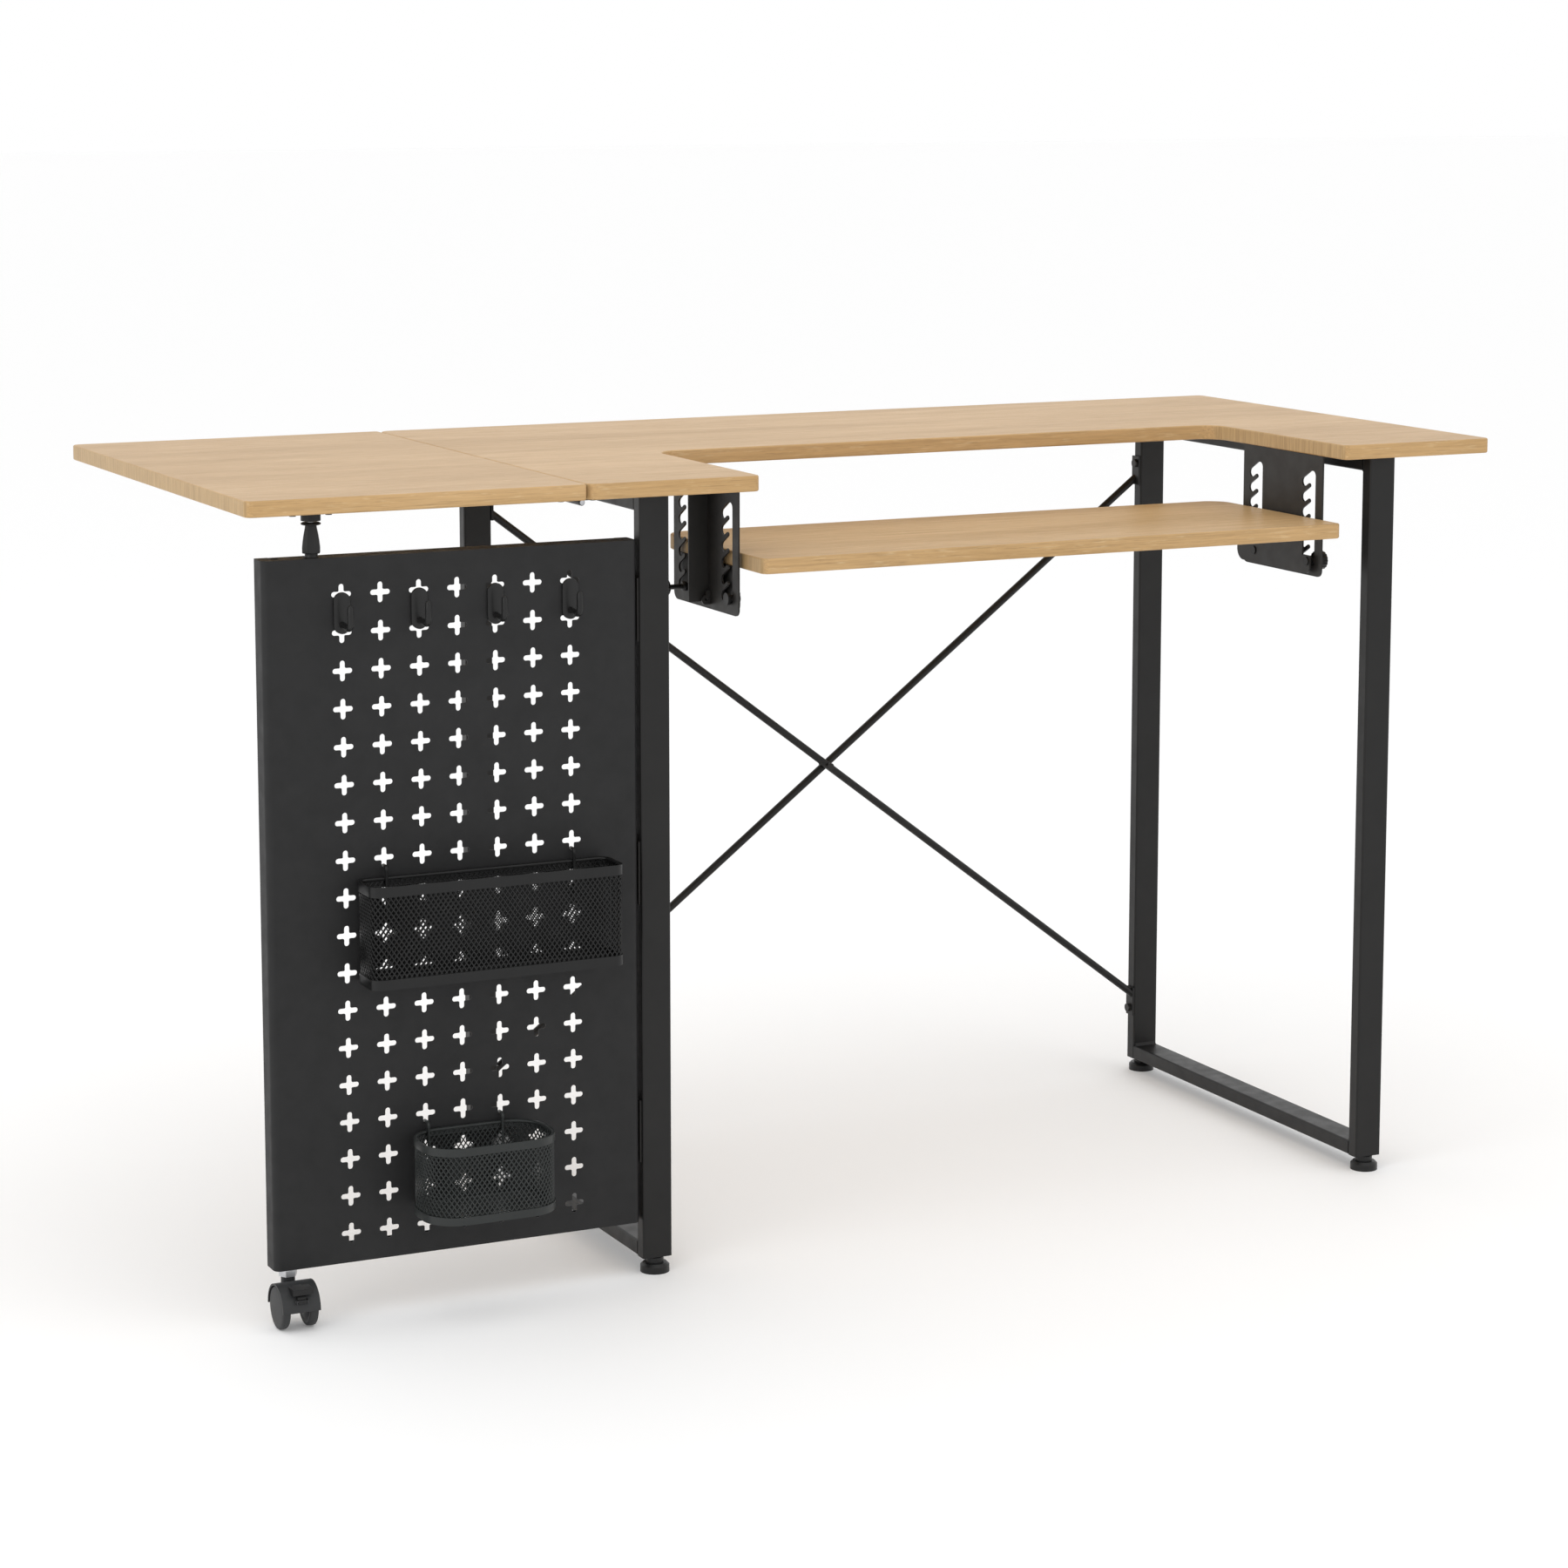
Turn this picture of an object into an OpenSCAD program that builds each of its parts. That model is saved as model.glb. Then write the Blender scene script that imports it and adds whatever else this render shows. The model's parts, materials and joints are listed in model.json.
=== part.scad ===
// Sewing table: a tube frame under a two-part top with a cut-out, a platform that
// lifts through the cut-out on notched side plates, and a perforated panel on a
// caster that swings out under the drop leaf and carries hooks and two baskets.
// Millimetres, +Z up, front towards -Y.

/* [Top] */
// Whole width of the top with the leaf up
top_w = 1330; // [1250:5:1400]
// Depth of the top, front to back
top_d = 565; // [560:1:600]
// Height of the work surface above the floor
top_h = 762; // [740:1:780]
// Thickness of the boards
board_t = 15; // [12:0.5:20]
// Gap between the leaf and the main board
seam_gap = 2; // [1.5:0.1:2.5]
// Width of the cut-out in the main board
cut_w = 650; // [640:1:650]
// Depth of the cut-out, from the front edge
cut_d = 250; // [250:1:270]

/* [Frame] */
// Width of the leg tubes, seen from the front
tube_w = 30; // [26:1:32]
// Depth of the leg tubes and height of the rails
tube_d = 15; // [14:1:18]
// Wall of the tubes
tube_t = 1.5; // [1.2:0.1:2]
// Diameter of the two crossed rods at the back
brace_dia = 8; // [6:0.5:10]
// Diameter of the levelling feet
foot_dia = 28; // [24:1:32]

/* [Lift platform] */
// Depth of the platform board
lift_d = 234; // [225:1:234]
// Height of the platform surface in its lowest place
lift_h = 683; // [682:0.5:685]
// Spacing of the notches
notch_pitch = 15.8; // [15:0.1:16]
// Slope of the fingers between the notches, in degrees
notch_slope = 30; // [28:1:35]
// Diameter of the studs that ride in the notches
stud_dia = 7; // [6:0.5:7]

/* [Panel] */
// Height of the top of the panel
panel_top = 706; // [704:1:710]
// Height of the bottom of the panel
panel_bottom = 52; // [52:1:54]
// Depth of the folded edges
panel_d = 25; // [22:1:26]
// Columns of crosses
cross_cols = 7; // [5:1:8]
// Rows of crosses
cross_rows = 18; // [16:1:18]
// Width of one cross
cross_w = 19; // [16:0.5:22]
// Width of a cross's arms
cross_arm = 5; // [4:0.5:6]

/* [Baskets] */
// Depth of the large basket, front to back
basket_d = 46; // [40:1:60]
// Height of the large basket
basket_h = 95; // [70:1:100]
// Depth of the small basket, front to back
small_d = 79; // [70:1:79]
// Height of the small basket
small_h = 72; // [60:1:80]

/* [Caster] */
// Diameter of the wheels
wheel_dia = 40; // [38:0.5:40]
// Distance from the swivel axis to the axle
trail = 17; // [15:0.5:20]
// Width of the caster's hood
hood_w = 36; // [34:0.5:40]

/* [Hidden] */
$fn = 48;

xr = top_w / 2;
yf = -275;
yr = yf + top_d;
under = top_h - board_t;
seam = -338;
cut_x0 = 163 - cut_w / 2;
cut_x1 = 163 + cut_w / 2;
// The row's origin is under the middle of the whole, baskets included
y_mid = 26;

leg_xl = -280.5;
leg_xr = 528;
leg_yf = -261;
leg_yr = 192;
leg_z = 15;
rail_y0 = leg_yf + tube_d;

lift_x0 = cut_x0 + 2;
lift_x1 = cut_x1 - 2;
lift_under = lift_h - board_t;
stud_y = -213;
stud_z = 638;
stud_step = 100;
plate_t = 2;

px0 = -646.5;
px1 = -283;
py0 = -261;
py1 = py0 + panel_d;
sheet_t = 1.2;
bend_r = 6.5;
cross_x = -351.1;
cross_z = panel_top - 33.6;
cross_px = 36.95;
cross_pz = 34.85;
swing_x = -285.5;
swing_y = -230.7;
pin_x = -596;
pin_y = -248;

cast_x = -630.5;
cast_y = -248;
axle_y = cast_y - trail;
axle_z = wheel_dia / 2;
hood_r = wheel_dia / 2 + 2.3;
lever_r = hood_r + 2.7;

wood = [0.84, 0.70, 0.52];
dark = [0.14, 0.14, 0.14];
grey = [0.22, 0.22, 0.23];
zinc = [0.68, 0.69, 0.70];
black = [0.06, 0.06, 0.06];

// ---------- helpers ----------

module rrect(x0, y0, x1, y1, r) {
  translate([x0 + r, y0]) square([x1 - x0 - 2 * r, y1 - y0]);
  translate([x0, y0 + r]) square([x1 - x0, y1 - y0 - 2 * r]);
  for (x = [x0 + r, x1 - r], y = [y0 + r, y1 - r]) translate([x, y]) circle(r);
}

// What has to go to round the corner at x, y of a shape that lies towards sx, sy
module nick(x, y, sx, sy, r) {
  difference() {
    translate([sx > 0 ? x - 1 : x - r, sy > 0 ? y - 1 : y - r]) square(r + 1);
    translate([x + sx * r, y + sy * r]) circle(r);
  }
}

module box(x0, x1, y0, y1, z0, z1) {
  translate([x0, y0, z0]) cube([x1 - x0, y1 - y0, z1 - z0]);
}

module zcyl(x, y, z0, z1, d) {
  translate([x, y, z0]) cylinder(h = z1 - z0, d = d);
}

module xcyl(x0, x1, y, z, d) {
  translate([x0, y, z]) rotate([0, 90, 0]) cylinder(h = x1 - x0, d = d);
}

module ycyl(y0, y1, x, z, d) {
  translate([x, y1, z]) rotate([90, 0, 0]) cylinder(h = y1 - y0, d = d);
}

// A shape drawn in Y and Z, thick along X
module yz_plate(x0, x1) {
  translate([x0, 0, 0]) rotate([90, 0, 90]) linear_extrude(x1 - x0) children();
}

// A shape drawn in X and Z, thick along Y
module xz_plate(y0, y1) {
  translate([0, y1, 0]) rotate([90, 0, 0]) linear_extrude(y1 - y0) children();
}

module xy_plate(z0, z1) {
  translate([0, 0, z0]) linear_extrude(z1 - z0) children();
}

module rod_between(p, q, d) {
  v = q - p;
  len = norm(v);
  translate(p) rotate([0, acos(v[2] / len), atan2(v[1], v[0])]) cylinder(h = len, d = d);
}

// ---------- screw places, x and y, shared by the boards and the metal ----------

hinge_y = [-230, 7, 245];
main_hinge_screws = [for (y = hinge_y, dy = [-18, 18]) [seam + 16, y + dy]];
leaf_hinge_screws = [for (y = hinge_y, dy = [-18, 18]) [seam - 16, y + dy]];
receiver_screws = [[pin_x - 17, pin_y], [pin_x + 17, pin_y]];
flange_screws = [for (x = [cut_x0 - 15, cut_x1 + 15], y = [-205, -110]) [x, y]];
rail_holes = [for (x = [leg_xl + tube_w / 2, leg_xr + tube_w / 2], y = [-200, -30, 140]) [x, y]];
platform_holes = [for (x = [lift_x0 + 14, lift_x1 - 14], y = [-185, -105]) [x, y]];

module pilot_holes(places, z, d) {
  for (p = places) zcyl(p[0], p[1], z - 1, z + 10, d);
}

// A screw driven up from below: its head hangs under z
module screw_up(x, y, z, shank, head, grip) {
  zcyl(x, y, z - 1.6, z, head);
  zcyl(x, y, z - 0.4, z + grip, shank);
}

// ---------- boards ----------

module main_top() {
  color(wood) difference() {
    xy_plate(under, top_h) difference() {
      translate([seam + seam_gap / 2, yf]) square([xr - seam - seam_gap / 2, top_d]);
      nick(xr, yf, -1, 1, 8);
      nick(xr, yr, -1, -1, 8);
      nick(seam + seam_gap / 2, yf, 1, 1, 12);
      nick(seam + seam_gap / 2, yr, 1, -1, 12);
      nick(cut_x0, yf, -1, 1, 8);
      nick(cut_x1, yf, 1, 1, 8);
      difference() {
        translate([cut_x0, yf - 1]) square([cut_w, cut_d + 1]);
        nick(cut_x0, yf + cut_d, 1, -1, 25);
        nick(cut_x1, yf + cut_d, -1, -1, 25);
      }
    }
    pilot_holes(main_hinge_screws, under, 3.1);
    pilot_holes(flange_screws, under, 3.1);
    pilot_holes(rail_holes, under, 5.1);
  }
}

module drop_leaf() {
  color(wood) difference() {
    xy_plate(under, top_h) difference() {
      translate([-xr, yf]) square([xr + seam - seam_gap / 2, top_d]);
      nick(-xr, yf, 1, 1, 8);
      nick(-xr, yr, 1, -1, 8);
      nick(seam - seam_gap / 2, yf, -1, 1, 12);
      nick(seam - seam_gap / 2, yr, -1, -1, 12);
    }
    pilot_holes(leaf_hinge_screws, under, 3.1);
    pilot_holes(receiver_screws, under, 3.1);
  }
}

// ---------- hinges of the leaf, under the seam ----------

leaf_pin_z = under - 3.4;

module leaf_hinge_side(sx, spans, screws) {
  color(grey) difference() {
    for (y = hinge_y) {
      x0 = sx > 0 ? seam + 4 : seam - 26;
      box(x0, x0 + 22, y - 30, y + 30, under - 1.6, under);
      for (s = spans) {
        box(min(seam, seam + sx * 5), max(seam, seam + sx * 5), y + s[0], y + s[1],
          under - 1.6, under - 0.2);
        ycyl(y + s[0], y + s[1], seam, leaf_pin_z, 6);
      }
    }
    for (y = hinge_y) ycyl(y - 31, y + 31, seam, leaf_pin_z, 2.6);
    for (p = screws) zcyl(p[0], p[1], under - 5, under + 1, 3.2);
  }
}

module leaf_hinge_main() {
  leaf_hinge_side(1, [[-30, -10.5], [10.5, 30]], main_hinge_screws);
}

module leaf_hinge_leaf() {
  leaf_hinge_side(-1, [[-10, 10]], leaf_hinge_screws);
}

module leaf_hinge_pins() {
  color(zinc) for (y = hinge_y) {
    ycyl(y - 30, y + 30, seam, leaf_pin_z, 2.5);
    for (e = [-31, 30]) ycyl(y + e, y + e + 1, seam, leaf_pin_z, 4.5);
  }
}

// ---------- frame ----------

module leg(x, y) {
  color(dark) difference() {
    xy_plate(leg_z, under) difference() {
      rrect(x, y, x + tube_w, y + tube_d, 2);
      rrect(x + tube_t, y + tube_t, x + tube_w - tube_t, y + tube_d - tube_t, 0.3);
    }
    xi = x < 0 ? x + tube_w - 4 : x - 1;
    if (y > 0) for (z = brace_screw_z(x)) xcyl(xi, xi + 5, y + tube_d / 2, z, 5.2);
  }
}

module rail(x, z, screws) {
  t = z > 100 ? z : z + tube_d;
  up = z > 100 ? -3 : 3;
  color(dark) {
    difference() {
      xz_plate(rail_y0, leg_yr) difference() {
        rrect(x, z, x + tube_w, z + tube_d, 2);
        rrect(x + tube_t, z + tube_t, x + tube_w - tube_t, z + tube_d - tube_t, 0.5);
      }
      for (p = screws) zcyl(p[0], p[1], z - 1, z + tube_d + 1, 5.2);
    }
    // Weld fillets in the inner corners with the legs
    yz_plate(x + 2, x + tube_w - 2) polygon([[rail_y0, t], [rail_y0 + 3, t], [rail_y0, t + up]]);
    yz_plate(x + 2, x + tube_w - 2) polygon([[leg_yr, t], [leg_yr - 3, t], [leg_yr, t + up]]);
  }
}

module front_left_leg() { leg(leg_xl, leg_yf); }
module front_right_leg() { leg(leg_xr, leg_yf); }
module rear_left_leg() { leg(leg_xl, leg_yr); }
module rear_right_leg() { leg(leg_xr, leg_yr); }
module left_top_rail() { rail(leg_xl, under - tube_d, rail_holes); }
module right_top_rail() { rail(leg_xr, under - tube_d, rail_holes); }
module left_bottom_rail() { rail(leg_xl, leg_z, []); }
module right_bottom_rail() { rail(leg_xr, leg_z, []); }

module wood_screws() {
  color(zinc) {
    for (p = concat(main_hinge_screws, leaf_hinge_screws)) {
      screw_up(p[0], p[1], under - 1.6, 3, 6, 10);
    }
    for (p = flange_screws) screw_up(p[0], p[1], under - plate_t, 3, 6, 10);
    for (p = receiver_screws) screw_up(p[0], p[1], under - 2, 3, 6, 10);
  }
}

module rail_screws() {
  color(black) for (p = rail_holes) screw_up(p[0], p[1], under - tube_d, 5, 9, tube_d + 8);
}

// ---------- feet ----------

module foot(x, y) {
  cx = x + tube_w / 2;
  cy = y + tube_d / 2;
  color(black) {
    zcyl(cx, cy, 0, 6.5, foot_dia);
    translate([cx, cy, 6.5]) cylinder(h = 2.5, d1 = foot_dia, d2 = foot_dia - 5);
    zcyl(cx, cy, 9, leg_z - 0.6, 17);
    zcyl(cx, cy, 12, 36, 8);
  }
}

module foot_inserts() {
  color(black) for (x = [leg_xl, leg_xr], y = [leg_yf, leg_yr]) difference() {
    box(x + tube_t + 0.1, x + tube_w - tube_t - 0.1, y + tube_t + 0.1, y + tube_d - tube_t - 0.1,
      leg_z, leg_z + 24);
    zcyl(x + tube_w / 2, y + tube_d / 2, leg_z - 1, leg_z + 25, 8.1);
  }
}

module front_left_foot() { foot(leg_xl, leg_yf); }
module front_right_foot() { foot(leg_xr, leg_yf); }
module rear_left_foot() { foot(leg_xl, leg_yr); }
module rear_right_foot() { foot(leg_xr, leg_yr); }

// ---------- crossed rods ----------

brace_x0 = leg_xl + tube_w;
brace_x1 = leg_xr;
brace_y = leg_yr + tube_d / 2;
// Heights where the rods meet the legs: left and right end of each rod
rod_a = [682, 90];
rod_b = [86, 682];

// Screws sit 16 beyond the rod's end, away from the middle of the leg
function tab_z(z) = z > 380 ? z + 16 : z - 16;
// Where the rods cross
bolt_t = (rod_a[0] - rod_b[0]) / (rod_a[0] - rod_a[1] + rod_b[1] - rod_b[0]);
bolt_x = brace_x0 + bolt_t * (brace_x1 - brace_x0);
bolt_z = rod_a[0] + bolt_t * (rod_a[1] - rod_a[0]);
function brace_screw_z(x) =
  x < 0 ? [tab_z(rod_a[0]), tab_z(rod_b[0])] : [tab_z(rod_a[1]), tab_z(rod_b[1])];

module brace_rod(ends, y) {
  rise = (ends[1] - ends[0]) / (brace_x1 - brace_x0);
  color(dark) {
    difference() {
      intersection() {
        box(brace_x0 + 1, brace_x1 - 1, y - 10, y + 10, 0, under);
        rod_between([brace_x0 - 10, y, ends[0] - 10 * rise], [brace_x1 + 10, y, ends[1] + 10 * rise],
          brace_dia);
      }
      ycyl(y - 10, y + 10, bolt_x, bolt_z, 4.1);
    }
    for (i = [0, 1]) {
      x0 = i == 0 ? brace_x0 : brace_x1 - 2.5;
      lo = min(ends[i], tab_z(ends[i])) - 8;
      difference() {
        box(x0, x0 + 2.5, min(y - 4, brace_y - 6), max(y + 4, brace_y + 6), lo, lo + 32);
        xcyl(x0 - 1, x0 + 4, brace_y, tab_z(ends[i]), 5.2);
      }
    }
  }
}

module brace_rod_a() { brace_rod(rod_a, brace_y - brace_dia / 2); }
module brace_rod_b() { brace_rod(rod_b, brace_y + brace_dia / 2); }

module brace_screws() {
  color(black) {
    ycyl(brace_y - brace_dia - 2, brace_y + brace_dia + 2, bolt_x, bolt_z, 4);
    for (y = [brace_y - brace_dia - 3, brace_y + brace_dia]) ycyl(y, y + 3, bolt_x, bolt_z, 8);
  }
  color(black) for (x = [leg_xl, leg_xr]) {
    for (z = brace_screw_z(x)) {
      s = x < 0 ? brace_x0 : brace_x1;
      if (x < 0) {
        xcyl(s - 6, s + 2.6, brace_y, z, 5);
        xcyl(s + 2.5, s + 5.5, brace_y, z, 9);
      } else {
        xcyl(s - 2.6, s + 6, brace_y, z, 5);
        xcyl(s - 5.5, s - 2.5, brace_y, z, 9);
      }
    }
  }
}

// ---------- notched side plates ----------

np_y0 = -231;
np_y1 = -82;
np_z = 622.5;
chan_d = 10.5;
chan_y = stud_y - 0.25;
finger_t = 4;
slot_w = notch_pitch * cos(notch_slope) - finger_t;
slot_run = 15;
seat_z = stud_z + (top_h - lift_h);
tip_run = chan_d / 2 + finger_t / 2;
tip_z = seat_z + 1.2 + tan(notch_slope) * (slot_run - tip_run) - notch_pitch / 2;

module notch_column(y) {
  top = seat_z + 8.2;
  difference() {
    union() {
      translate([y - chan_d / 2, stud_z - stud_dia / 2 - 0.4])
        square([chan_d + 2, top - stud_z + stud_dia / 2 + 0.4]);
      translate([y, top]) circle(chan_d / 2);
      for (k = [0:5]) translate([y + slot_run, seat_z + 1.2 - k * notch_pitch]) {
        circle(slot_w / 2);
        rotate(180 - notch_slope) translate([0, -slot_w / 2]) square([slot_run / cos(notch_slope), slot_w]);
      }
    }
    // Round tips of the fingers
    for (k = [0:4]) translate([y + tip_run, tip_z - k * notch_pitch]) circle(finger_t / 2);
  }
}

module notch_plate(x0, sx) {
  xf = sx > 0 ? x0 : x0 + plate_t;
  color(grey) difference() {
    union() {
      yz_plate(x0, x0 + plate_t) difference() {
        translate([np_y0, np_z]) square([np_y1 - np_y0, under - np_z]);
        nick(np_y0, np_z, 1, 1, 7);
        nick(np_y1, np_z, -1, 1, 9);
        notch_column(chan_y);
        notch_column(chan_y + stud_step);
      }
      // Flange under the board, the stiffening rib between the two columns, and an eye
      box(min(xf, xf + sx * 26), max(xf, xf + sx * 26), np_y0, np_y1, under - plate_t, under);
      box(min(xf, xf + sx * 22), max(xf, xf + sx * 22), -162, -160, np_z + 7, under - 1);
      xz_plate(-168, -166) {
        translate([xf + sx * 6.5, np_z + 9]) circle(4.5);
        translate([min(xf, xf + sx * 6.5), np_z + 4.5]) square([6.5, 13.5]);
      }
    }
    ycyl(-169, -165, xf + sx * 6.5, np_z + 9, 3);
    for (p = flange_screws) zcyl(p[0], p[1], under - 5, under + 1, 3.2);
  }
}

module left_notch_plate() { notch_plate(cut_x0 - 4, -1); }
module right_notch_plate() { notch_plate(cut_x1 + 2, 1); }

// ---------- lift platform ----------

module platform_board() {
  color(wood) difference() {
    xy_plate(lift_under, lift_h) difference() {
      translate([lift_x0, yf]) square([lift_x1 - lift_x0, lift_d]);
      nick(lift_x0, yf, 1, 1, 8);
      nick(lift_x1, yf, -1, 1, 8);
      nick(lift_x0, yf + lift_d, 1, -1, 24);
      nick(lift_x1, yf + lift_d, -1, -1, 24);
    }
    pilot_holes(platform_holes, lift_under, 3.1);
  }
}

module slide_plate(x0, sx) {
  color(grey) difference() {
    union() {
      yz_plate(x0, x0 + plate_t) difference() {
        translate([np_y0 + 12, np_z + 3]) square([138, lift_under - np_z - 3]);
        nick(np_y0 + 12, np_z + 3, 1, 1, 7);
        nick(np_y0 + 150, np_z + 3, -1, 1, 12);
        translate([np_y0 + 11, stud_z + 6]) square([15, 40]);
      }
      box(min(x0, x0 - sx * 22), max(x0, x0 - sx * 22) + plate_t, np_y0 + 26, np_y0 + 145,
        lift_under - plate_t, lift_under);
    }
    for (y = [stud_y, stud_y + stud_step]) xcyl(x0 - 1, x0 + 3, y, stud_z, stud_dia + 0.1);
    for (p = platform_holes) zcyl(p[0], p[1], lift_under - 5, lift_under + 1, 3.2);
  }
}

module left_slide_plate() { slide_plate(lift_x0, -1); }
module right_slide_plate() { slide_plate(lift_x1 - plate_t, 1); }

// The two studs that carry no knob end in a plain head outside the notched plate
module slide_stud(x, sx, y, length, headed) {
  a = x - sx * 1.2;
  b = x + sx * length;
  xcyl(min(a, b), max(a, b), y, stud_z, stud_dia);
  xcyl(min(a, x), max(a, x), y, stud_z, 9);
  if (headed) xcyl(min(b, b - sx * 3), max(b, b - sx * 3), y, stud_z, 12);
}

module slide_studs() {
  color(zinc) {
    slide_stud(lift_x1 - plate_t, 1, stud_y, 16.2, false);
    slide_stud(lift_x1 - plate_t, 1, stud_y + stud_step, 12.5, true);
    slide_stud(lift_x0 + plate_t, -1, stud_y, 12.5, true);
    slide_stud(lift_x0 + plate_t, -1, stud_y + stud_step, 11.4, false);
  }
}

module platform_screws() {
  color(zinc) for (p = platform_holes) {
    screw_up(p[0], p[1], lift_under - plate_t, 3, 6, 10);
  }
}

// A collar on the end of the stud, a rod where the head has to stand clear, and the head
module clamp_knob(x, sx, y, head_at, head_len, head_dia, bore_len) {
  color(black) difference() {
    union() {
      xcyl(min(x, x + sx * 4.6), max(x, x + sx * 4.6), y, stud_z, 9.4);
      xcyl(min(x, x + sx * (head_at + 1)), max(x, x + sx * (head_at + 1)), y, stud_z, 5);
      translate([x + sx * (head_at + (sx > 0 ? 0 : head_len)), 0, 0]) xcyl(0, head_len, y, stud_z, head_dia);
    }
    xcyl(min(x - sx, x + sx * bore_len), max(x - sx, x + sx * bore_len), y, stud_z, stud_dia + 0.1);
  }
}

module left_clamp_knob() { clamp_knob(cut_x0 - 4.6, -1, stud_y + stud_step, 19.4, 14.6, 16, 3); }
module right_clamp_knob() { clamp_knob(cut_x1 + 4.6, 1, stud_y, 1.4, 11.4, 19, 7.8); }

// ---------- perforated panel ----------

function column_x(i) = cross_x - i * cross_px;

module cross(x, z) {
  translate([x - cross_w / 2, z - cross_arm / 2]) square([cross_w, cross_arm]);
  translate([x - cross_arm / 2, z - cross_w / 2]) square([cross_arm, cross_w]);
}

module panel_sheet() {
  color(grey) xz_plate(py0, py0 + sheet_t) difference() {
    translate([px0 + bend_r, panel_bottom]) square([px1 - px0 - 2 * bend_r, panel_top - panel_bottom]);
    for (i = [0:cross_cols - 1], j = [0:cross_rows - 1]) {
      cross(column_x(i), cross_z - j * cross_pz);
    }
  }
}

// Side edge: front bend, side wall and the lip at the back
module side_edge(x, s) {
  x0 = min(x, x + s * 13);
  color(grey) xy_plate(panel_bottom, panel_top) difference() {
    translate([x0, py0]) square([13, panel_d]);
    nick(x, py0, s, 1, bend_r);
    nick(x, py1, s, -1, 2);
    difference() {
      translate([s > 0 ? x + sheet_t : x - 14, py0 + sheet_t]) square([14 - sheet_t, panel_d - 2 * sheet_t]);
      nick(x + s * sheet_t, py0 + sheet_t, s, 1, bend_r - sheet_t);
    }
    translate([s > 0 ? x + bend_r : x - 14, py0 - 1]) square([14 - bend_r, sheet_t + 1.1]);
  }
}

module panel_left_edge() { side_edge(px0, 1); }
module panel_right_edge() { side_edge(px1, -1); }

// Top and bottom edges: a shelf inside the side edges with a lip at the back
module end_edge(z, s) {
  color(grey) {
    xy_plate(min(z, z + s * sheet_t), max(z, z + s * sheet_t)) difference() {
      translate([px0 + sheet_t, py0 + sheet_t])
        square([px1 - px0 - 2 * sheet_t, panel_d - 2 * sheet_t]);
      nick(px0 + sheet_t, py0 + sheet_t, 1, 1, bend_r - sheet_t);
      nick(px1 - sheet_t, py0 + sheet_t, -1, 1, bend_r - sheet_t);
      translate([pin_x, pin_y]) circle(d = 7.2);
      translate([cast_x, cast_y]) circle(d = 8.4);
    }
    box(px0 + 14, px1 - 14, py1 - 2 * sheet_t, py1 - sheet_t, min(z, z + s * 13), max(z, z + s * 13));
  }
}

module panel_top_edge() { end_edge(panel_top, -1); }
module panel_bottom_edge() { end_edge(panel_bottom, 1); }

// ---------- hinges of the panel ----------

swing_z = [140, 390, 640];

module panel_hinge_leg() {
  color(grey) difference() {
    for (z = swing_z) {
      box(leg_xl - 1.6, leg_xl, leg_yf + 3, swing_y + 2, z - 30, z + 30);
      for (s = [[-30, -11], [11, 30]]) zcyl(swing_x, swing_y, z + s[0], z + s[1], 8.4);
    }
    for (z = swing_z) {
      zcyl(swing_x, swing_y, z - 31, z + 31, 4.1);
      // Room for the middle knuckle
      box(swing_x, leg_xl + 1, swing_y - 5, swing_y + 5, z - 11, z + 11);
    }
  }
}

module panel_hinge_panel() {
  color(grey) difference() {
    for (z = swing_z) {
      difference() {
        box(swing_x - 21, swing_x, py1, py1 + 1.6, z - 30, z + 30);
        for (s = [-31, 10.4]) box(swing_x - 5.5, swing_x + 1, py1 - 1, py1 + 3, z + s, z + s + 20.6);
      }
      zcyl(swing_x, swing_y, z - 10.4, z + 10.4, 8.4);
      for (e = [-20, 20]) ycyl(py1 + 1, py1 + 2.4, swing_x - 13, z + e, 5);
    }
    for (z = swing_z) zcyl(swing_x, swing_y, z - 31, z + 31, 4.1);
  }
}

module panel_hinge_pins() {
  color(zinc) for (z = swing_z) {
    zcyl(swing_x, swing_y, z - 30, z + 30, 4);
    for (e = [-32, 30]) zcyl(swing_x, swing_y, z + e, z + e + 2, 6);
  }
}

// ---------- lock between the panel and the leaf ----------

module pin_receiver() {
  color(dark) difference() {
    union() {
      box(pin_x - 22, pin_x + 22, pin_y - 8, pin_y + 8, under - 2, under);
      zcyl(pin_x, pin_y, under - 8, under - 1, 18);
    }
    zcyl(pin_x, pin_y, under - 9, under - 0.4, 11);
    for (p = receiver_screws) zcyl(p[0], p[1], under - 5, under + 1, 3.2);
  }
}

module lock_housing() {
  color(black) difference() {
    union() {
      zcyl(pin_x, pin_y, panel_top, panel_top + 3.5, 12.6);
      translate([pin_x, pin_y, panel_top + 3.5]) cylinder(h = 25.5, d1 = 16.5, d2 = 10.6);
      zcyl(pin_x, pin_y, panel_top + 29, panel_top + 31.5, 18.4);
    }
    zcyl(pin_x, pin_y, panel_top - 1, panel_top + 33, 6.1);
  }
}

module lock_pin() {
  color(zinc) {
    zcyl(pin_x, pin_y, panel_top - 34, panel_top + 32, 6);
    zcyl(pin_x, pin_y, panel_top - 36, panel_top - 24, 14);
  }
}

// ---------- hooks ----------

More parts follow.
